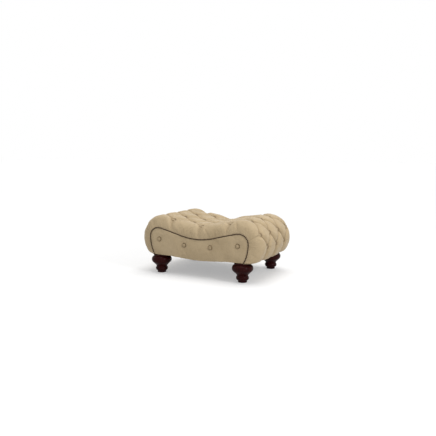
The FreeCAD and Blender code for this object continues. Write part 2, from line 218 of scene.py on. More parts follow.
def crownHalf(inset, bottomZ):
    radius = outline["rollRadius"]
    rollX, rollZ = outline["bodyEnd"] - radius, outline["peak"] - radius
    end = -math.degrees(math.asin((rollZ - bottomZ) / (radius - inset)))
    return np.concatenate([
        saddlePoints(outline["saddle"], rollX, outline["peak"], radius, outline["crownSlope"], inset),
        arcPoints(rollX, rollZ, radius - inset, 90, end, 300)[1:]])


def trimHalf(inset, bottomZ):
    peakX, corner, side = outline["trimPeakX"], outline["trimCorner"], outline["trimSide"]
    cornerZ = outline["trimPeak"] - corner
    end = -math.degrees(math.asin((cornerZ - bottomZ) / (side - inset)))
    return np.concatenate([
        saddlePoints(outline["trimSaddle"], peakX, outline["trimPeak"], outline["trimPeakRadius"],
                     outline["trimSlope"], inset),
        arcPoints(peakX, cornerZ, corner - inset, 90, 0)[1:],
        arcPoints(peakX + corner - side, cornerZ, side - inset, 0, end)[1:]])


def lengthAlong(line):
    return np.concatenate([[0], np.cumsum(np.linalg.norm(np.diff(line, axis=0), axis=1))])


def walk(line, shares):  # places at shares of the length from the middle, and their outward normals
    length = lengthAlong(line)
    where = np.abs(shares) * length[-1]
    spots, along = (np.stack([np.interp(where, length, values[:, k]) for k in (0, 1)], 1)
                    for values in (line, np.gradient(line, length, axis=0)))
    along /= np.linalg.norm(along, axis=1)[:, None]
    side = np.where(np.asarray(shares) < 0, -1.0, 1.0)
    return np.stack([spots[:, 0] * side, spots[:, 1]], 1), np.stack([-along[:, 1] * side, along[:, 0]], 1)


def panelOutline(inset):  # the closed edge of a facing panel
    shoulder = outline["apron"] + outline["apronRise"] + inset
    top = trimHalf(inset, shoulder)
    apron = saddlePoints(outline["apron"], outline["apronRun"], outline["apron"] + outline["apronRise"],
                         outline["apronShoulder"], outline["apronSlope"], -inset)
    half = np.concatenate([top, np.linspace(top[-1], apron[-1], 30)[1:], apron[::-1][1:]])
    return np.concatenate([half, half[::-1] * (-1, 1)])


# Tufted cover: a lattice of rows (p) and half columns (q) over the crown, one fold per lattice cell
cover = {
    "steps": 20, "borderSteps": 24, "buttonDepth": 0.0215, "foldDepth": 0.0150, "flank": 0.038,
    "dome": 0.0022, "wellWidth": 0.020, "rim": 0.004, "wall": 0.036, "boardMargin": 0.0256,
    "boardFace": 0.2708, "boardBack": 0.2523, "endSag": 0.006, "skirtPleat": 0.45, "pillowSpread": 0.0014,
    "hemRound": 0.007, "hemReach": 0.2, "frameEnd": 0.3674, "foamBottom": 0.153, "bedding": 0.0008,
    "pleatTurns": (0, 0.33, 0.61, 0.83, 1), "pleatShares": (1, 0.78, 0.52, 0.27, 0.05), "cornerPleat": 0.1,
    "backRows": (-4, -3, -2, -1, 0, 1, 2, 3, 4, 5), "backFade": (0.8, 2.2, 3.2, 3.5),
    "backLifts": (0.004, 0.001, 0, 0.0085, -0.013, 0.0035, 0, -0.005, -0.002, -0.002),
    "heldFold": 0.02, "heldButton": 0.012, "seed": 7,
    "pressure": 4.0, "fullness": -0.012, "frames": 20, "moveCap": 0.005,
}
wrinkles = {
    "gathers": (8, 12), "gather": 0.0008, "gatherReach": 0.030, "gatherWidth": 0.013,
    "gatherSpread": (0.6, 1.2), "pucker": 0.0006, "puckerWave": 0.017, "puckerReach": 0.012,
    "puckerStart": 0.018, "phaseShift": 2.2, "phaseWave": (0.05, 0.08), "slack": 0.0006,
    "slackWave": (0.045, 0.095), "slackStart": 0.02, "trimPull": 0.0006, "trimWave": 0.021,
    "trimFrom": 3.35, "trimRise": 2.2, "trimTo": 3.97, "stillRadius": 0.013,
    # the crease and ring values shape painted shade along the folds and round the buttons
    "creaseWidth": 0.0042, "creaseRows": (3, 4.5), "creaseStrength": (0.25, 0.88),
    "ringRadius": 0.0158, "ringWidth": 0.0055, "seed": 5,
}

latticeValues = ("latticeP", "latticeQ", "hideAlong", "hideAcross")
crownLine, trimLine = crownHalf(0, outline["bottom"]), trimHalf(0, outline["bottom"])
crownLength = lengthAlong(crownLine)[-1]
rowLengths = np.diff(outline["rowShares"]) * crownLength
buttonLattice = [(row, column) for row in range(-5, 6)
                 for column in ((-2, 0, 2) if row % 2 else (-3, -1, 1, 3))]


def hump(share):  # 0 at both ends of a cell, 1 in its middle
    return 4 * share * (1 - share)


def bell(distance, width, centre=0):
    return np.exp(-((distance - centre) / width) ** 2)


def roundOver(distance, reach):  # 0 on a fold and steepest there, 1 from reach onwards
    return 1 - (1 - np.minimum(distance / reach, 1)) ** 2


def rowLengthAt(p):
    return np.interp(np.abs(p), np.arange(6) + 0.5, rowLengths)


def alongAt(p):  # length over the crown from the middle to a row
    return np.sign(p) * np.interp(np.abs(p), range(7), outline["rowShares"]) * crownLength


def foldGaps(p, q, border=0):  # shares of the two ways across a cell, and metres to the nearest folds
    shares = np.mod((p + q + 1) / 2, 1), np.mod((p - q + 1) / 2, 1)
    metres = 2 / np.sqrt(rowLengthAt(p) ** -2.0 + outline["rowPitch"] ** -2.0)
    metres = metres + (2 * rowLengthAt(p) - metres) * np.clip(border / 0.3, 0, 1)
    return shares, [metres * np.minimum(share, 1 - share) for share in shares]


def tuftDepth(p, q, border):  # how far the leather lies below the crown at a lattice place
    deep, fold = cover["buttonDepth"], cover["foldDepth"]
    (a, b), (gapA, gapB) = foldGaps(p, q, border)
    humpA, humpB = hump(a), hump(b)
    ridge = (deep - fold) * (humpA + humpB - humpA * humpB)
    pillow = roundOver(gapA, cover["flank"]) * roundOver(gapB, cover["flank"])
    return deep - ridge - fold * pillow - cover["dome"] * humpA * humpB, humpA * humpB


def coverDepth(p, q, borderTurn):
    deep, fold = cover["buttonDepth"], cover["foldDepth"]
    ap, aq = np.abs(p), np.abs(q)
    pillow, middle = tuftDepth(np.minimum(ap, 5), np.minimum(aq, 3), np.maximum(aq - 3, 0))
    pleatShare = np.interp(borderTurn, cover["pleatTurns"], cover["pleatShares"])
    cornerShare = 1 - (1 - cover["cornerPleat"]) * np.clip(ap - 3, 0, 1) * np.clip((aq - 3) * 4, 0, 1)
    depth = pillow * np.where(aq > 3, pleatShare * cornerShare, 1)
    skirtCell = np.where(aq < 2, np.mod(aq / 2, 1), np.minimum((aq - 2) / 2, 0.5))
    skirtGap = 2 * outline["rowPitch"] * np.minimum(skirtCell, 1 - skirtCell)
    skirtPillow = deep - (deep - fold) * (2 - hump(skirtCell)) * hump(skirtCell)
    skirtPillow -= fold * roundOver(skirtGap, cover["flank"]) ** 2
    skirtShare = 1 - (1 - cover["skirtPleat"]) * (ap - 5)
    depth = np.where((ap > 5) & (aq <= 3), skirtPillow * skirtShare, depth)
    depth = np.where((ap > 5) & (aq > 3), 0, depth)
    return depth, middle


def backLift(p, q):  # the crown's unevenness along the back, as the photo shows it against the light
    byRow = np.interp(p, cover["backRows"], cover["backLifts"])
    return byRow * np.interp(q, cover["backFade"], (0, 1, 1, 0))


def ringsBehindTrim(trim, trimShare, share):  # the lip, the return round the board, the hollow over the foam
    aroundBoard = walk(trimHalf(-cover["boardMargin"], outline["bottom"]), trimShare)[0]
    corners = np.array([(cover["frameEnd"], cover["foamBottom"]), (cover["frameEnd"], outline["bottom"])])
    hollow = walk(np.concatenate([crownHalf(cover["wall"], cover["foamBottom"]), corners]), share)[0]
    face, back = cover["boardFace"], cover["boardBack"]
    rings = [(trim, outline["facingY"] - 0.0002), (trim, face), (aroundBoard, face), (aroundBoard, back),
             (hollow, back)]
    return [np.stack([ring[:, 0], np.full(len(ring), y), ring[:, 1]], 1) for ring, y in rings]


def coverFaces(rows, columns):  # quads, and triangles where a fold runs across them
    steps = cover["steps"]
    number = np.arange(rows * columns).reshape(rows, columns).tolist()
    faces = []
    for i in range(rows - 1):
        for j in range(columns):
            k = (j + 1) % columns
            quad = [number[i][j], number[i + 1][j], number[i + 1][k], number[i][k]]
            column = j - cover["borderSteps"]
            if 0 <= column < 6 * steps and steps <= i < 11 * steps:
                overRow, overColumn = i % steps, column % steps
                falling = (i // steps + column // steps) % 2 == 0
                if falling and overRow == overColumn:
                    faces += [quad[:3], [quad[0], quad[2], quad[3]]]
                    continue
                if not falling and overRow == steps - 1 - overColumn:
                    faces += [[quad[0], quad[1], quad[3]], quad[1:]]
                    continue
            faces.append(quad)
    return faces + [number[0], number[-1][::-1]]


def buildCover():
    steps, half = cover["steps"], cover["borderSteps"]
    random = np.random.default_rng(cover["seed"])
    p = np.linspace(-6, 6, 12 * steps + 1)
    share = alongAt(p) / crownLength
    trimShare = np.sign(p) * np.interp(np.abs(p), range(7), outline["trimShares"])
    crown = walk(crownLine, share)[0]
    trim, trimNormal = walk(trimLine, trimShare)
    turns = np.linspace(0, 1, half + 1)[1:]
    q = np.concatenate([-3 - turns[::-1], np.linspace(-3, 3, 6 * steps + 1), 3 + turns])
    turn = np.clip(np.abs(q) - 3, 0, 1)
    reach = outline["facingY"] - outline["outerRowY"]
    y = np.sign(q) * (np.minimum(np.abs(q), 3) * outline["rowPitch"] + reach * np.sin(turn * math.pi / 2))
    edge = trim[:, None, :] + cover["rim"] * trimNormal[:, None, :] * (turn ** 4)[None, :, None]
    flat = edge + (crown[:, None, :] - edge) * np.cos(turn * math.pi / 2)[None, :, None]
    base = np.stack([flat[:, :, 0], np.broadcast_to(y, flat.shape[:2]), flat[:, :, 1]], 2)
    normal = np.cross(np.gradient(base, axis=0), np.gradient(base, axis=1))
    normal /= np.linalg.norm(normal, axis=2)[:, :, None]
    gridP, gridQ = np.meshgrid(p, q, indexing="ij")
    depth, middle = coverDepth(gridP, gridQ, np.broadcast_to(turn, gridP.shape))
    along = np.broadcast_to((share * crownLength)[:, None], gridP.shape)
    borderStep = np.linalg.norm(np.diff(base, axis=1), axis=2)
    across = np.concatenate([np.zeros((len(p), 1)), np.cumsum(borderStep, axis=1)], 1)
    across -= across[:, len(q) // 2, None]
    reachOfButton = np.full(gridP.shape, 1.0)
    for row, column in buttonLattice:
        distance = np.hypot(along - alongAt(row), y[None, :] - column * outline["rowPitch"])
        reachOfButton = np.minimum(reachOfButton, distance)
    well = (cover["buttonDepth"] + cover["bedding"]) * bell(reachOfButton, cover["wellWidth"])
    depth = np.maximum(depth, well * (turn < 0.5)[None, :])
    uneven = random.uniform(-1, 1, (40, 40))
    cellA = np.floor((gridP + gridQ + 1) / 2).astype(int) + 20
    cellB = np.floor((gridP - gridQ + 1) / 2).astype(int) + 20
    depth = depth + cover["pillowSpread"] * (uneven[cellA, cellB] + 0.6) * np.sqrt(middle)
    hem = np.clip((np.abs(gridP) - 6 + cover["hemReach"]) / cover["hemReach"], 0, 1)
    depth = depth + cover["hemRound"] * (1 - np.sqrt(1 - hem ** 2))
    skin = base - normal * (depth - backLift(gridP, gridQ))[:, :, None]
    sag = cover["endSag"] * np.clip(np.abs(gridP) - 5, 0, 1)
    skin[:, :, 2] -= sag * np.cos(np.clip(np.abs(y) / outline["outerRowY"], 0, 1) * math.pi / 2)[None, :]

    inner = ringsBehindTrim(trim, trimShare, share)
    inner += [ring * (1, -1, 1) for ring in reversed(inner)]
    grid = np.concatenate([skin] + [ring[:, None, :] for ring in inner], 1)
    rows, columns = grid.shape[:2]
    mesh = bpy.data.meshes.new("leatherCover")
    mesh.from_pydata([tuple(point) for point in grid.reshape(-1, 3)], [], coverFaces(rows, columns))
    obj = addObject("leatherCover", mesh)
    outwardNormals(obj)

    skinCount = skin.shape[1]
    pinned = np.ones((rows, columns))
    onFold = (middle < cover["heldFold"]) & (turn < 0.9)[None, :]
    held = np.where(onFold | (reachOfButton < cover["heldButton"]), 1.0, 0.0)
    held[:, :3] = held[:, skinCount - 3:] = 1.0
    held[:3] = held[-3:] = 1.0
    pinned[:, :skinCount] = held
    sunk = np.clip(depth / cover["buttonDepth"], 0, 1)
    for name, values in zip(("fold",) + latticeValues, (sunk, gridP, gridQ, along, across)):
        layer = np.full((rows, columns), 0.0 if name == "fold" else 9.0)
        layer[:, :skinCount] = values
        setValue(obj, name, layer)
    return obj, pinned.ravel()


def rippleField(x, y, random, waves, count=7):  # slow unevenness, from -1 to 1
    field = np.zeros(len(x))
    for _ in range(count):
        bearing, start = random.uniform(0, 2 * math.pi, 2)
        wave = random.uniform(*waves)
        field += np.sin((x * math.cos(bearing) + y * math.sin(bearing)) * 2 * math.pi / wave + start)
    return field / math.sqrt(count)


def wrinkleCover(obj):  # gathers round the buttons, puckers across the folds, slack between
    random = np.random.default_rng(wrinkles["seed"])
    where, normals = getPoints(obj), getNormals(obj)
    p, q, along, across = (getValue(obj, name) for name in latticeValues)
    skin = (np.abs(p) < 6.001) & (np.abs(q) < 4.001)
    move = np.zeros(len(where))
    paintedShade = np.zeros(len(where))
    nearest = np.full(len(where), 1.0)
    for row, column in buttonLattice:
        x, y = along - alongAt(row), across - column * outline["rowPitch"]
        distance, bearing = np.hypot(x, y), np.arctan2(y, x)
        count, start = random.integers(*wrinkles["gathers"]), random.uniform(0, 2 * math.pi)
        ring = bell(distance, wrinkles["gatherWidth"], wrinkles["gatherReach"])
        height = wrinkles["gather"] * random.uniform(*wrinkles["gatherSpread"])
        move += height * ring * np.cos(count * bearing + start)
        # painted shade in a ring round each button
        paintedShade = np.maximum(paintedShade, bell(distance, wrinkles["ringWidth"], wrinkles["ringRadius"]))
        nearest = np.minimum(nearest, distance)
    ap, aq = np.abs(p), np.abs(q)
    gapA, gapB = foldGaps(np.minimum(ap, 5), np.minimum(aq, 3))[1]
    inside = (ap <= 5) & (aq <= 3)
    border = (aq > 3) & (ap <= 5)
    pleatGap = np.abs(p - 2 * np.round(p / 2)) * rowLengthAt(p)
    skirtGap = np.where(aq < 2.9, np.abs(q - 2 * np.round(q / 2)) * outline["rowPitch"], 1)
    gap = np.where(inside, np.minimum(gapA, gapB), np.where(border, pleatGap, skirtGap))
    gap = np.where((ap > 5) & (aq > 3), 1, gap)
    fade = np.where(border, np.clip(1.3 - 1.3 * (aq - 3), 0, 1), np.where(ap > 5, 1 - 0.7 * (ap - 5), 1))
    fade *= np.interp(ap, wrinkles["creaseRows"], wrinkles["creaseStrength"])  # painted shade in the folds, stronger at the ends
    paintedShade = np.maximum(paintedShade, fade * bell(gap, wrinkles["creaseWidth"]))
    slack = rippleField(along, across, random, wrinkles["slackWave"])
    phase = wrinkles["phaseShift"] * rippleField(along, across, random, wrinkles["phaseWave"], 4)
    runs = np.where(inside & (gapA < gapB), along - across, along + across)
    pucker = np.sin(runs * 2 * math.pi / wrinkles["puckerWave"] + phase)
    pucker *= bell(gap, wrinkles["puckerReach"]) * (nearest > wrinkles["puckerStart"])
    move += wrinkles["pucker"] * pucker
    pull = np.sin(along * 2 * math.pi / wrinkles["trimWave"] + phase)
    pull *= np.clip((aq - wrinkles["trimFrom"]) * wrinkles["trimRise"], 0, 1)
    move += wrinkles["trimPull"] * pull * (aq < wrinkles["trimTo"])
    move += wrinkles["slack"] * slack * np.clip(gap / wrinkles["slackStart"], 0, 1)
    setPoints(obj, where + normals * (move * skin * (nearest > wrinkles["stillRadius"]))[:, None])
    # painted shade along the folds and round the buttons, kept for the leather's colour
    setValue(obj, "paintedShade", paintedShade * skin)


clothSettings = {
    "quality": 5, "mass": 0.3, "tension_stiffness": 25, "compression_stiffness": 25, "shear_stiffness": 8,
    "bending_stiffness": 0.6, "air_damping": 3, "use_pressure": True, "vertex_group_mass": "held",
    "pin_stiffness": 1,
}


def plump(obj, pinned, settings):  # cloth under pressure, held where pinned
    before = getPoints(obj)
    group = obj.vertex_groups.new(name="held")
    group.add(np.nonzero(pinned)[0].tolist(), 1.0, "REPLACE")
    modifier = obj.modifiers.new("cloth", "CLOTH")
    cloth = modifier.settings
    assign(cloth, clothSettings)
    cloth.uniform_pressure_force = settings["pressure"]
    cloth.shrink_min = settings["fullness"]
    cloth.effector_weights.gravity = 0
    modifier.collision_settings.use_collision = False
    modifier.point_cache.frame_start, modifier.point_cache.frame_end = 1, settings["frames"]
    for number in range(1, settings["frames"] + 1):
        bpy.context.scene.frame_set(number)
    shown = obj.evaluated_get(bpy.context.evaluated_depsgraph_get())
    after = getPoints(shown)
    obj.modifiers.remove(modifier)
    obj.vertex_groups.remove(group)
    bpy.context.scene.frame_set(1)
    move = after - before
    size = np.linalg.norm(move, axis=1)
    move *= np.minimum(1, settings["moveCap"] / np.maximum(size, 1e-9))[:, None]
    setPoints(obj, before + move)
    print("  cloth moved", obj.name, "by", round(float(size.max()) * 1000, 1), "mm at most, mean",
          round(float(size.mean()) * 1000, 2))


coverObject, coverPins = buildCover()
plump(coverObject, coverPins, cover)
runModifier(coverObject, "SUBSURF", levels=1, render_levels=1, use_limit_surface=False)
wrinkleCover(coverObject)
print("cover made,", len(coverObject.data.polygons), "faces")

# Covered buttons, one shape for the seat and the panels
buttonShape = {
    "rings": ((0.0060, 0.0), (0.0098, 0.0008), (0.0119, 0.0022), (0.0125, 0.0039), (0.0120, 0.0056),
              (0.0104, 0.0073), (0.0078, 0.0084), (0.0042, 0.0090), (0.0012, 0.0091)),
    "sides": 20, "coverDrop": 0.0212, "panelY": 0.2845, "seed": 11,
    "panelPlaces": ((-0.306, 0.246), (-0.102, 0.2186), (0.102, 0.2186), (0.306, 0.246)),
}


def coverButtonPlaces():
    random = np.random.default_rng(buttonShape["seed"])
    places = []
    for row, column in buttonLattice:
        spot, normal = walk(crownLine, np.array([alongAt(row) / crownLength]))
        x, z = spot[0] - (buttonShape["coverDrop"] - backLift(row, column)) * normal[0]
        point = (x, column * outline["rowPitch"], z)
        places.append(facing(point, (normal[0][0], 0, normal[0][1]), random.uniform(0, 6.3)))
    return places


def panelButtonPlaces(side):
    return [facing((x, side * buttonShape["panelY"], z), (0, side, 0), x * 9)
            for x, z in buttonShape["panelPlaces"]]


facingSides = (("front", -1), ("back", 1))
seatButtons = placedCopies(turned(buttonShape), "seatButtons", coverButtonPlaces())
panelButtonObjects = {name: placedCopies(turned(buttonShape), name + "PanelButtons", panelButtonPlaces(side))
                      for name, side in facingSides}
print("buttons made")

# Panel pads: remeshed from the CAD pad, crowned and dimpled, then plumped
pad = {
    "voxel": 0.0045, "crown": 0.0062, "crownRun": 0.050, "flatEdge": 0.0055, "dimple": 0.0058,
    "dimpleWidth": 0.021, "groove": 0.0030, "grooveRadius": 0.0128, "grooveWidth": 0.0036,
    "gather": 0.0007, "gathers": 9, "gatherReach": 0.017, "gatherWidth": 0.009, "unevenness": 0.0006,
    "edgeInset": 0.0003, "heldEdge": 0.012, "heldDimple": 0.6, "frontFrom": 0.275,
    "pressure": 3.0, "fullness": -0.004, "frames": 14, "moveCap": 0.003,
}


def remeshedNode(node, name, voxel):
    obj = nodeCopy(node, name)
    runModifier(obj, "REMESH", mode="VOXEL", voxel_size=voxel)
    runModifier(obj, "SMOOTH", factor=0.5, iterations=3)
    return obj


def buildPad(name, side):
    obj = remeshedNode(name + "_panel_pad", name + "PanelPad", pad["voxel"])
    where = getPoints(obj)
    edge = panelOutline(pad["edgeInset"])
    inside = np.hypot(where[:, 0, None] - edge[:, 0], where[:, 2, None] - edge[:, 1]).min(1)
    out = where[:, 1] * side
    face = out > outline["facingY"] - 0.002
    rise = np.clip((inside - pad["flatEdge"]) / pad["crownRun"], 0, 1)
    crown = pad["crown"] * (1 - (1 - rise) ** 2)
    shade = np.zeros(len(where))
    for x, z in buttonShape["panelPlaces"]:
        awayX, awayZ = where[:, 0] - x, where[:, 2] - z
        distance, bearing = np.hypot(awayX, awayZ), np.arctan2(awayZ, awayX)
        sink = bell(distance, pad["dimpleWidth"])
        crown -= pad["dimple"] * sink
        ring = bell(distance, pad["gatherWidth"], pad["gatherReach"])
        crown += pad["gather"] * np.cos(pad["gathers"] * bearing + x * 20) * ring
        shade = np.maximum(shade, sink)
    crown += pad["unevenness"] * np.sin(where[:, 0] * 31 + 1.3) * np.cos(where[:, 2] * 47) * rise
    where[:, 1] = np.where(face, outline["facingY"] - 0.0003 + crown, out) * side
    setPoints(obj, where)
    held = np.where(face & (inside > pad["heldEdge"]) & (shade < pad["heldDimple"]), 0.0, 1.0)
    plump(obj, held, pad)
    runModifier(obj, "SUBSURF", levels=1, render_levels=1)
    where, normals = getPoints(obj), getNormals(obj)
    paintedShade, groove = np.zeros(len(where)), np.zeros(len(where))
    front = where[:, 1] * side > pad["frontFrom"]
    # grooves round the panel buttons, with painted shade along them
    for x, z in buttonShape["panelPlaces"]:
        distance = np.hypot(where[:, 0] - x, where[:, 2] - z)
        ring = bell(distance, pad["grooveWidth"], pad["grooveRadius"])
        groove += pad["groove"] * ring
        paintedShade = np.maximum(paintedShade, ring)
    setPoints(obj, where - normals * (groove * front)[:, None])
    setValue(obj, "fold", np.zeros(len(where)))
    setValue(obj, "paintedShade", paintedShade * front)
    return obj


padObjects = {name: buildPad(name, side) for name, side in facingSides}
print("panel pads made")

# Dome nails along the trim
nail = {"rings": ((0.0046, 0.0), (0.0049, 0.0007), (0.0044, 0.0021), (0.0028, 0.0034), (0.0010, 0.0038)),
        "sides": 10, "pitch": 0.0108, "span": 0.997, "lift": 0.0003, "wander": 0.0003, "lean": 0.04,
        "seed": 21}


def nailRow(name, side):
    random = np.random.default_rng(nail["seed"] + side)
    count = int(2 * lengthAlong(trimLine)[-1] / nail["pitch"])
    spots = walk(trimLine, np.linspace(-nail["span"], nail["span"], count))[0]
    spots += random.uniform(-nail["wander"], nail["wander"], spots.shape)
    y = side * (outline["facingY"] + nail["lift"])
    places = [facing((x, y, z), (random.normal(0, nail["lean"]), side, random.normal(0, nail["lean"])),
                     random.uniform(0, 6.3)) for x, z in spots]
    return placedCopies(turned(nail), name + "Nails", places)


nailObjects = {name: nailRow(name, side) for name, side in facingSides}
print("nails made")

# Foams under the cover, sawn from slabs
foamCut = {"voxel": 0.007, "sawn": 0.0006, "sawWave": (0.02, 0.06), "inset": 0.0009, "seed": 31}


def foamBlock(node, name):
    obj = remeshedNode(node, name, foamCut["voxel"])
    where, normals = getPoints(obj), getNormals(obj)
    field = rippleField(where[:, 0] + where[:, 2], where[:, 1], np.random.default_rng(foamCut["seed"]),
                        foamCut["sawWave"])
    setPoints(obj, where + normals * (foamCut["sawn"] * field - foamCut["inset"])[:, None])
    return obj


foamObjects = {node: foamBlock(node, name) for node, name in (
    ("seat_foam", "seatFoam"), ("left_roll_foam", "leftRollFoam"), ("right_roll_foam", "rightRollFoam"))}
print("foams cut")

# Interlaced webbing with the hessian over it
webbing = {
    "width": 0.050, "thickness": 0.002, "middleZ": 0.239, "crossX": (-0.236, -0.118, 0, 0.118, 0.236),
    "longY": (-0.125, 0, 0.125), "crossReach": 0.2522, "longReach": 0.349, "flatHalf": 0.021, "steps": 150,
    "hessianZ": 0.2415, "hessianThickness": 0.001, "hessianSag": 0.0007, "sagRun": 0.012, "fray": 0.002,
    "rim": 0.999, "seed": 41,
}


def clothGrid(name, length, width, stepsAlong, stepsAcross):
    deselectAll()
    bpy.ops.mesh.primitive_grid_add(x_subdivisions=stepsAlong, y_subdivisions=stepsAcross, size=1)
    obj = bpy.context.object
    obj.name = name
    obj.scale = (length, width, 1)
    settle(obj)
    return obj


def strap(reach, crossings, overs, place, endHeight, alongY):
    obj = clothGrid("strap", 2 * reach, webbing["width"], webbing["steps"], 8)
    where = getPoints(obj)
    knots, heights = [-reach], [endHeight]
    for crossing, over in zip(crossings, overs):
        knots += [crossing - webbing["flatHalf"], crossing + webbing["flatHalf"]]
        heights += [over, over]
    lift = np.interp(where[:, 0], knots + [reach], heights + [endHeight]) * webbing["thickness"] / 2
    setValue(obj, "stripe", np.abs(where[:, 1]) * 2 / webbing["width"])
    x, y, z = where[:, 0], where[:, 1] + place, webbing["middleZ"] + lift
    setPoints(obj, np.stack([-y, x, z] if alongY else [x, y, z], 1))
    runModifier(obj, "SOLIDIFY", thickness=webbing["thickness"] * 0.9, offset=0)
    return obj


def strapRow(name, reach, places, crossings, first, alongY):  # over and under the others in turn
    straps = []
    for i, place in enumerate(places):
        overs = [first * (-1) ** (i + j) for j in range(len(crossings))]
        straps.append(strap(reach, crossings, overs, place, -first, alongY))
    return joined(straps, name)


def buildWebbing():
    crossX, longY = webbing["crossX"], webbing["longY"]
    cross = strapRow("crossWebbing", webbing["crossReach"], [-x for x in crossX], longY, 1, True)
    long = strapRow("longWebbing", webbing["longReach"], longY, crossX, -1, False)
    return cross, long


def buildHessian():
    flat = 2 * webbing["longReach"], 2 * webbing["crossReach"]
    obj = clothGrid("hessianCloth", *flat, 120, 88)
    random = np.random.default_rng(webbing["seed"])
    where = getPoints(obj)
    gapX = np.min([np.abs(where[:, 0] - x) for x in webbing["crossX"]], axis=0)
    gapY = np.min([np.abs(where[:, 1] - y) for y in webbing["longY"]], axis=0)
    hanging = np.clip((np.minimum(gapX, gapY) - webbing["width"] / 2) / webbing["sagRun"], 0, 1)
    where[:, 2] = webbing["hessianZ"] - webbing["hessianSag"] * hanging
    rim = np.abs(where[:, :2] / (webbing["longReach"], webbing["crossReach"])).max(1) > webbing["rim"]
    where[:, :2] *= 1 - (webbing["fray"] * random.uniform(0, 1, len(where)) * rim)[:, None]
    setPoints(obj, where)
    runModifier(obj, "SOLIDIFY", thickness=webbing["hessianThickness"] * 0.9, offset=0)
    return obj


crossWebbing, longWebbing = buildWebbing()
hessianCloth = buildHessian()
print("webbing and hessian laid")

# Black lining under the frame, stapled round its edge and cut away round the feet
lining = {
    "reach": (0.355, 0.2402), "z": 0.1305, "thickness": 0.001, "foot": (0.320, 0.237), "footCut": 0.058,
    "steps": (96, 66), "snap": 0.0045, "sag": 0.0032, "sagSpan": (0.82, 0.75), "pucker": 0.0005,
    "puckerFrom": 0.93, "stapleInset": 0.009, "staplePitch": 0.043, "stapleSize": (0.0100, 0.0012, 0.0007),
    "stapleMargin": 0.1, "stapleDrop": 0.0011, "stapleBevel": 0.0003, "stapleTurn": 0.2,
}


def footGap(where):
    away = np.abs(where[:, :2]) - lining["foot"]
    return np.hypot(away[:, 0], away[:, 1])


def buildLining():
    reach = np.array(lining["reach"])
    obj = clothGrid("underLining", *(2 * reach), *lining["steps"])
    makeActive(obj)
    middles = np.array([face.center for face in obj.data.polygons])
    obj.data.polygons.foreach_set("select", footGap(middles) < lining["footCut"])
    bpy.ops.object.mode_set(mode="EDIT")
    bpy.ops.mesh.select_mode(type="FACE")
    bpy.ops.mesh.delete(type="FACE")
    leaveEdit()
    where = getPoints(obj)
    gap = footGap(where)
    short = gap < lining["footCut"] + lining["snap"]
    foot = np.sign(where[:, :2]) * lining["foot"]
    outward = (where[:, :2] - foot) / np.maximum(gap, 1e-6)[:, None]
    where[short, :2] = (foot + outward * lining["footCut"])[short]
    where[:, :2] = np.clip(where[:, :2], -reach, reach)
    setPoints(obj, where)
    share = np.abs(where[:, :2] / reach)
    hang = np.prod(1 - np.minimum(share / lining["sagSpan"], 1) ** 2, axis=1)
    wave = np.sin((where[:, 0] + where[:, 1]) * 2 * math.pi / lining["staplePitch"]) + 1
    wave *= share.max(1) > lining["puckerFrom"]
    where[:, 2] = lining["z"] - lining["sag"] * hang - lining["pucker"] * wave
    setPoints(obj, where)
    runModifier(obj, "SOLIDIFY", thickness=lining["thickness"] * 0.8, offset=0)
    return obj


def buildStaples():
    deselectAll()
    bpy.ops.mesh.primitive_cube_add(size=1)
    staple = bpy.context.object
    staple.scale = lining["stapleSize"]
    settle(staple)
    runModifier(staple, "BEVEL", width=lining["stapleBevel"], segments=2)
    places = []
    for way in (1, -1):  # rows along X, then rows along Y
        reach, inset = lining["reach"][::way]
        end = reach - lining["stapleMargin"]
        for spot in np.linspace(-end, end, int(2 * end / lining["staplePitch"])):
            for side in (-1, 1):
                x, y = (spot, side * (inset - lining["stapleInset"]))[::way]
                angle = (0 if way == 1 else math.pi / 2) + lining["stapleTurn"] * math.sin(spot * 91)
                places.append(Matrix.Translation((x, y, lining["z"] - lining["stapleDrop"]))
                              @ Matrix.Rotation(angle, 4, "Z"))
    return placedCopies(staple, "liningStaples", places)


underLining = buildLining()
liningStaples = buildStaples()
print("lining stapled")


# Materials
def feed(tree, socket, value):  # another node's output, or a constant
    if isinstance(value, bpy.types.NodeSocket):
        tree.links.new(value, socket)
    else:
        socket.default_value = (*value, 1) if socket.type == "RGBA" else value


def fill(tree, sockets, **values):
    for key, value in values.items():
        feed(tree, sockets[key.replace("_", " ")], value)


def addNode(tree, kind, **values):
    node = tree.nodes.new("ShaderNode" + kind)
    for key, value in values.items():
        if key in node.inputs:
            feed(tree, node.inputs[key], value)
        else:
            setattr(node, key, value)
    return node


def fedNode(tree, kind, places, values, output=0, **settings):  # fed at the places of its sockets
    node = addNode(tree, kind, **settings)
    for place, value in zip(places, values):
        feed(tree, node.inputs[place], value)
    return node.outputs[output]


def math2(tree, operation, first, second=0):
    return fedNode(tree, "Math", (0, 1), (first, second), operation=operation)


def sine(tree, value, rate):
    return math2(tree, "SINE", math2(tree, "MULTIPLY", value, rate))


def distanceFrom(tree, value, centre):
    return math2(tree, "ABSOLUTE", math2(tree, "SUBTRACT", value, centre))


def rangeNode(tree, value, low, high, newLow, newHigh):
    return fedNode(tree, "MapRange", range(5), (value, low, high, newLow, newHigh))


def mixColour(tree, share, first, second, how="MIX"):
    return fedNode(tree, "Mix", (0, 6, 7), (share, first, second), 2, data_type="RGBA", blend_type=how)


def noise(tree, where, **values):
    return addNode(tree, "TexNoise", Vector=where, **values).outputs[0]


def place(tree, scale=(1, 1, 1)):  # object coordinates, stretched
    source = addNode(tree, "TexCoord").outputs["Object"]
    return addNode(tree, "Mapping", Vector=source, Scale=scale).outputs[0]


def dress(tree, skin, colour, height, depth, **values):  # colour, relief and the rest
    relief = addNode(tree, "Bump", Strength=1.0, Distance=depth, Height=height).outputs[0]
    fill(tree, skin, Base_Color=colour, Normal=relief, **values)


def newMaterial(name, **values):
    material = bpy.data.materials.new(name)
    material.use_nodes = True
    tree = material.node_tree
    skin = tree.nodes["Principled BSDF"].inputs
    fill(tree, skin, **values)
    return material, tree, skin


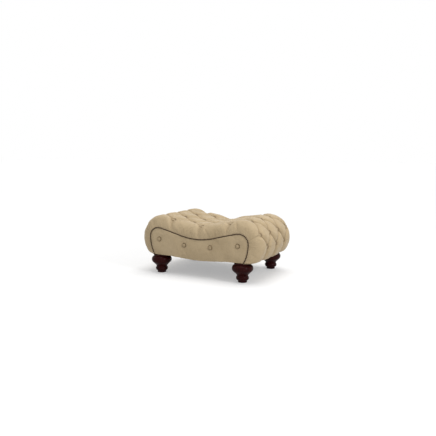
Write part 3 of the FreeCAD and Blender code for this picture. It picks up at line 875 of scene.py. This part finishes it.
def newGroup(name, inputs, outputs):  # takes a place and numbers, gives numbers
    tree = bpy.data.node_groups.new(name, "ShaderNodeTree")
    tree.interface.new_socket(name="Place", in_out="INPUT", socket_type="NodeSocketVector")
    for way, labels in (("INPUT", inputs), ("OUTPUT", outputs)):
        for label in labels:
            tree.interface.new_socket(name=label, in_out=way, socket_type="NodeSocketFloat")
    start, end = (tree.nodes.new("NodeGroup" + kind) for kind in ("Input", "Output"))
    return tree, start.outputs, start.outputs["Place"], end.inputs


def useGroup(tree, group, where, **values):
    return addNode(tree, "Group", node_tree=group, Place=where, **values).outputs


def makeMottleGroup():  # broad and fine unevenness of a tone, 0 to 1
    tree, start, where, end = newGroup("mottle", ("Broad", "Fine"), ("Tone",))
    broad = noise(tree, where, Scale=start["Broad"], Detail=4.0, Roughness=0.55)
    fine = noise(tree, where, Scale=start["Fine"], Detail=3.0, Roughness=0.6)
    both = math2(tree, "ADD", math2(tree, "MULTIPLY", broad, 0.7), math2(tree, "MULTIPLY", fine, 0.3))
    fill(tree, end, Tone=rangeNode(tree, both, 0.32, 0.68, 0, 1))
    return tree


def makeGrainGroup():  # pebbled grain with small creases between the pebbles
    tree, start, where, end = newGroup("hideGrain", ("Scale", "Creasing"), ("Height", "Pores"))
    warp = addNode(tree, "TexNoise", Vector=where, Scale=90.0, Detail=2.0).outputs["Color"]
    shifted = fedNode(tree, "VectorMath", range(3), (warp, (0.004, 0.004, 0.004), where),
                      operation="MULTIPLY_ADD")
    pebbles = addNode(tree, "TexVoronoi", Vector=shifted, Scale=start["Scale"],
                      feature="DISTANCE_TO_EDGE")
    edge = rangeNode(tree, pebbles.outputs["Distance"], 0, 0.22, 0, 1)
    creases = noise(tree, where, Scale=55.0, Detail=5.0, Roughness=0.62, Distortion=0.8)
    valley = rangeNode(tree, distanceFrom(tree, creases, 0.5), 0, 0.07, 0, 1)
    creased = math2(tree, "MULTIPLY", valley, start["Creasing"])
    fill(tree, end, Height=math2(tree, "ADD", edge, creased), Pores=edge)
    return tree


def makeWeaveGroup():  # plain weave: two sets of threads, over and under
    tree, start, where, end = newGroup("weave", ("Threads",), ("Height", "Tone"))
    split = addNode(tree, "SeparateXYZ", Vector=where).outputs
    height = math2(tree, "MULTIPLY", *(sine(tree, split[k], start["Threads"]) for k in (0, 1)))
    fuzz = noise(tree, where, Scale=400.0, Detail=2.0)
    fill(tree, end, Height=rangeNode(tree, height, -1, 1, 0, 1),
         Tone=math2(tree, "MULTIPLY", rangeNode(tree, height, -1, 1, 0.55, 1), fuzz))
    return tree


def makeWoodGroup():  # long fibres along one axis, bent by slow noise
    tree, start, where, end = newGroup("woodFibre", ("Rings",), ("Tone", "Fibre"))
    slow = noise(tree, where, Scale=1.6, Detail=3.0, Distortion=0.6)
    bands = rangeNode(tree, sine(tree, slow, start["Rings"]), -1, 1, 0, 0.6)
    fibre = noise(tree, where, Scale=9.0, Detail=4.0, Roughness=0.7)
    fill(tree, end, Tone=math2(tree, "ADD", bands, math2(tree, "MULTIPLY", fibre, 0.4)), Fibre=fibre)
    return tree


mottleGroup, grainGroup = makeMottleGroup(), makeGrainGroup()
weaveGroup, woodGroup = makeWeaveGroup(), makeWoodGroup()

# light and dark are the hide's random tone; the third colour is painted shade for folds, wells and buttons,
# and wellFrom and wellShare set the painted shade in the wells
leather = {
    "light": (0.585, 0.456, 0.285), "dark": (0.490, 0.374, 0.224), "paintedShade": (0.170, 0.115, 0.066),
    "broad": 6.0, "fine": 38.0, "pore": 0.90, "grainScale": 620.0, "grainDepth": 0.00022,
    "wellFrom": 0.35, "wellShare": 0.48, "buttonShade": (0.30, 0.16), "foldRoughness": (0.42, 0.66),
    "rubbedRoughness": (0.55, 0.45),
}


def leatherMaterial(name, lineShare, creasing):
    material, tree, skin = newMaterial(name, Specular_IOR_Level=0.17)
    where = place(tree)
    tone = useGroup(tree, mottleGroup, where, Broad=leather["broad"], Fine=leather["fine"])["Tone"]
    grain = useGroup(tree, grainGroup, where, Scale=leather["grainScale"], Creasing=creasing)
    colour = mixColour(tree, tone, leather["dark"], leather["light"])
    pores = rangeNode(tree, grain["Pores"], 0, 1, leather["pore"], 1)
    colour = mixColour(tree, 1, colour, pores, "MULTIPLY")
    if lineShare:  # painted shade down the folds, in the sunk wells and round the buttons
        fold, paintedShade = (addNode(tree, "Attribute", attribute_name=label).outputs["Fac"]
                        for label in ("fold", "paintedShade"))
        wellShade = rangeNode(tree, fold, leather["wellFrom"], 1, 0, leather["wellShare"])
        share = math2(tree, "MAXIMUM", wellShade, math2(tree, "MULTIPLY", paintedShade, lineShare))
        roughness = rangeNode(tree, fold, 0, 1, *leather["foldRoughness"])
    else:  # buttons: painted shade darkens them all over by a random amount; roughness varies as on rubbed leather
        share = rangeNode(tree, tone, 0, 1, *leather["buttonShade"])
        roughness = rangeNode(tree, tone, 0, 1, *leather["rubbedRoughness"])
    colour = mixColour(tree, share, colour, leather["paintedShade"])
    dress(tree, skin, colour, grain["Height"], leather["grainDepth"], Roughness=roughness)
    return material


pine = (26.0, (0.70, 0.53, 0.32), (0.48, 0.30, 0.14), 0.0002, 0.62)
woods = {  # stretch along the fibres, rings, two colours, fibre depth, roughness
    "lacqueredMahogany": ((38, 38, 5), 34.0, (0.0125, 0.0022, 0.0024), (0.042, 0.0056, 0.0050), 0.00008, 0.5),
    "pineAlongX": ((4, 42, 42), *pine), "pineAlongY": ((42, 4, 42), *pine),
    "facingPly": ((3, 40, 40), 20.0, (0.66, 0.50, 0.32), (0.42, 0.28, 0.15), 0.0002, 0.6),
}
veneers = {"pair": 0.0036, "range": (-0.25, 0.25)}
lacquer = {"Specular_IOR_Level": 0.03, "Coat_Weight": 0.06, "Coat_Roughness": 0.05}
lacquerRoughness = (0.28, 0.42)


def woodMaterial(name):
    stretch, rings, first, second, depth, roughness = woods[name]
    material, tree, skin = newMaterial(name, Roughness=roughness)
    wood = useGroup(tree, woodGroup, place(tree, stretch), Rings=rings)
    tone = wood["Tone"]
    if name == "lacqueredMahogany":
        fill(tree, skin, Roughness=rangeNode(tree, wood["Fibre"], 0, 1, *lacquerRoughness), **lacquer)
    elif name == "facingPly":  # veneers show as lines on the edges
        across = addNode(tree, "SeparateXYZ", Vector=place(tree)).outputs[1]
        lines = rangeNode(tree, sine(tree, across, 2 * math.pi / veneers["pair"]), -1, 1, *veneers["range"])
        tone = math2(tree, "ADD", tone, lines)
    dress(tree, skin, mixColour(tree, tone, first, second), wood["Fibre"], depth)
    return material


speckled = {  # dark and light colour, broad and fine scale, dull and bright roughness, depth, metal
    "antiqueBronze": ((0.030, 0.019, 0.014), (0.115, 0.078, 0.052), 90, 600, 0.52, 0.32, 0.0001, 0.9),
    "hardboard": ((0.20, 0.12, 0.065), (0.34, 0.22, 0.13), 60, 900, 0.83, 0.67, 0.0001, 0),
    "zincSteel": ((0.42, 0.42, 0.40), (0.66, 0.66, 0.64), 45, 300, 0.46, 0.30, 0.00005, 0.95),
    "glideNylon": ((0.040, 0.030, 0.026), (0.075, 0.058, 0.050), 50, 700, 0.63, 0.47, 0.0001, 0),
}


def speckledMaterial(name):
    dark, light, broad, fine, dull, bright, depth, metal = speckled[name]
    material, tree, skin = newMaterial(name, Metallic=metal)
    tone = useGroup(tree, mottleGroup, place(tree), Broad=broad, Fine=fine)["Tone"]
    dress(tree, skin, mixColour(tree, tone, dark, light), tone, depth,
          Roughness=rangeNode(tree, tone, 0, 1, dull, bright))
    return material


foamLook = {"light": (0.86, 0.80, 0.58), "dark": (0.74, 0.64, 0.38), "cell": (0.45, 0.36, 0.18),
            "cellScale": 520.0, "cellDepth": 0.0006, "broad": 8.0, "fine": 60.0}


def foamMaterial():  # open cells
    material, tree, skin = newMaterial("seatFoam", Roughness=0.9)
    where = place(tree)
    cells = addNode(tree, "TexVoronoi", Vector=where, Scale=foamLook["cellScale"]).outputs[0]
    tone = useGroup(tree, mottleGroup, where, Broad=foamLook["broad"], Fine=foamLook["fine"])["Tone"]
    base = mixColour(tree, tone, foamLook["dark"], foamLook["light"])
    colour = mixColour(tree, rangeNode(tree, cells, 0, 0.5, 0.5, 0), base, foamLook["cell"])
    dress(tree, skin, colour, cells, foamLook["cellDepth"])
    return material


woven = {  # threads, light and dark colour, depth
    "juteWebbing": (2200.0, (0.56, 0.43, 0.25), (0.20, 0.13, 0.06), 0.0006),
    "hessian": (2800.0, (0.50, 0.38, 0.22), (0.15, 0.10, 0.05), 0.0005),
    "blackLining": (5200.0, (0.055, 0.055, 0.060), (0.010, 0.010, 0.011), 0.0002),
}


def wovenMaterial(name):
    threads, light, dark, depth = woven[name]
    material, tree, skin = newMaterial(name, Roughness=0.88)
    weave = useGroup(tree, weaveGroup, place(tree), Threads=threads)
    colour = mixColour(tree, weave["Tone"], dark, light)
    if name == "juteWebbing":  # dark yarns a little inside both edges
        stripe = addNode(tree, "Attribute", attribute_name="stripe").outputs["Fac"]
        yarn = rangeNode(tree, distanceFrom(tree, stripe, 0.72), 0.05, 0.08, 0.75, 0)
        colour = mixColour(tree, yarn, colour, (0.030, 0.026, 0.022))
    dress(tree, skin, colour, weave["Height"], depth)
    return material


# the second number is the share of painted shade along the creases; buttons get painted shade all over
# instead
coverLeather = leatherMaterial("coverLeather", 0.80, 0.9)
panelLeather = leatherMaterial("panelLeather", 0.60, 0.55)
buttonLeather = leatherMaterial("buttonLeather", 0, 0.5)
mahogany, pineAlongX, pineAlongY, facingPly = (woodMaterial(name) for name in woods)
bronze, hardboard, zincSteel, glideNylon = (speckledMaterial(name) for name in speckled)
seatFoamFinish = foamMaterial()
juteWebbing, hessian, blackLining = (wovenMaterial(name) for name in woven)

finishPiece(coverObject, "leather", coverLeather, "tufted_cover")
finishPiece(seatButtons, "leather", buttonLeather, "cover_buttons")
for name in ("front", "back"):
    finishPiece(padObjects[name], "leather", panelLeather, name + "_panel_pad")
    finishPiece(panelButtonObjects[name], "leather", buttonLeather, name + "_panel_buttons")
    finishPiece(nailObjects[name], "nail_bronze", bronze, name + "_nail_strip")
for node, obj in foamObjects.items():
    finishPiece(obj, "seat_foam", seatFoamFinish, node)
finishPiece(crossWebbing, "jute_webbing", juteWebbing, "cross_webbing")
finishPiece(longWebbing, "jute_webbing", juteWebbing, "long_webbing")
finishPiece(hessianCloth, "hessian", hessian, "deck_cloth")
finishPiece(underLining, "black_lining", blackLining, "dust_cloth")
finishPiece(liningStaples, "zinc_steel", zincSteel)

frontBack, leftRight = ("front_", "back_"), ("left_", "right_")
corners = [one + other for one in frontBack for other in leftRight]
nodeFinishes = [
    (mahogany, corners, ["foot"]), (glideNylon, corners, ["glide"]),
    (pineAlongX, frontBack, ["base_rail", "deck_rail"]),
    (pineAlongY, leftRight, ["base_rail", "deck_rail", "end_board"]), (pineAlongY, ["centre_"], ["rail"]),
    (facingPly, frontBack, ["facing_board"]), (hardboard, frontBack, ["panel_backing"]),
    (zincSteel, [""], ["hanger_bolts", "tee_nuts"]),
]
for material, sides, kinds in nodeFinishes:
    for name in [side + kind for side in sides for kind in kinds]:
        giveMaterial(nodes[name], material)
print("finishes given")

# Room
room = {
    "floor": 0.63, "floorLift": 0.35, "floorSize": 60, "sky": 0.56, "aim": (0, 0, 0.2),
    "sun": 1.47, "sunSpread": 42, "sunFrom": (0.1, 0.42, 3.0), "fill": 31.0, "fillFrom": (3.0, -1.0, 2.0),
    "fillSize": 0.8,
}
view = {"sensor": 36, "lens": 45.06, "from": (1.8567, -3.4110, 0.8809), "tilt": 82.663, "turn": 28.4626}


def seenDirectly(tree):  # 1 for what the camera, a gloss or a glass shows, 0 for light on the object
    rays = addNode(tree, "LightPath").outputs
    mirrored = math2(tree, "MAXIMUM", rays["Is Glossy Ray"], rays["Is Transmission Ray"])
    return math2(tree, "MAXIMUM", rays["Is Camera Ray"], mirrored)


def buildRoom():
    deselectAll()
    bpy.ops.mesh.primitive_plane_add(size=room["floorSize"], location=(0, 0, 0))
    floor = bpy.context.object
    floor.name = "floor"
    material, tree, skin = newMaterial("paleFloor", Roughness=0.9, Specular_IOR_Level=0.05,
                                       Base_Color=(room["floor"],) * 3, Emission_Color=(1, 1, 1))
    fill(tree, skin, Emission_Strength=math2(tree, "MULTIPLY", seenDirectly(tree), room["floorLift"]))
    giveMaterial(floor, material)
    world = bpy.data.worlds.new("paleRoom")
    bpy.context.scene.world = world
    world.use_nodes = True
    tree = world.node_tree
    fill(tree, tree.nodes["Background"].inputs, Color=(1, 1, 1),
         Strength=rangeNode(tree, seenDirectly(tree), 0, 1, room["sky"], 1.0))


def addLamp(name, kind, where, energy, **values):
    lamp = bpy.data.lights.new(name, kind)
    lamp.energy = energy
    assign(lamp, values)
    obj = addObject(name, lamp)
    obj.location = where
    obj.rotation_euler = (Vector(room["aim"]) - Vector(where)).to_track_quat("-Z", "Y").to_euler()


buildRoom()
addLamp("topSun", "SUN", room["sunFrom"], room["sun"], angle=math.radians(room["sunSpread"]))
addLamp("fillLamp", "AREA", room["fillFrom"], room["fill"], shape="DISK", size=room["fillSize"])

camera = bpy.data.cameras.new("camera")
camera.sensor_width = view["sensor"]
camera.lens = view["lens"]
cameraObject = addObject("camera", camera)
cameraObject.location = view["from"]
cameraObject.rotation_euler = (math.radians(view["tilt"]), 0, math.radians(view["turn"]))
bpy.context.scene.camera = cameraObject
bpy.context.scene.view_settings.view_transform = "Standard"
print("room and camera set")
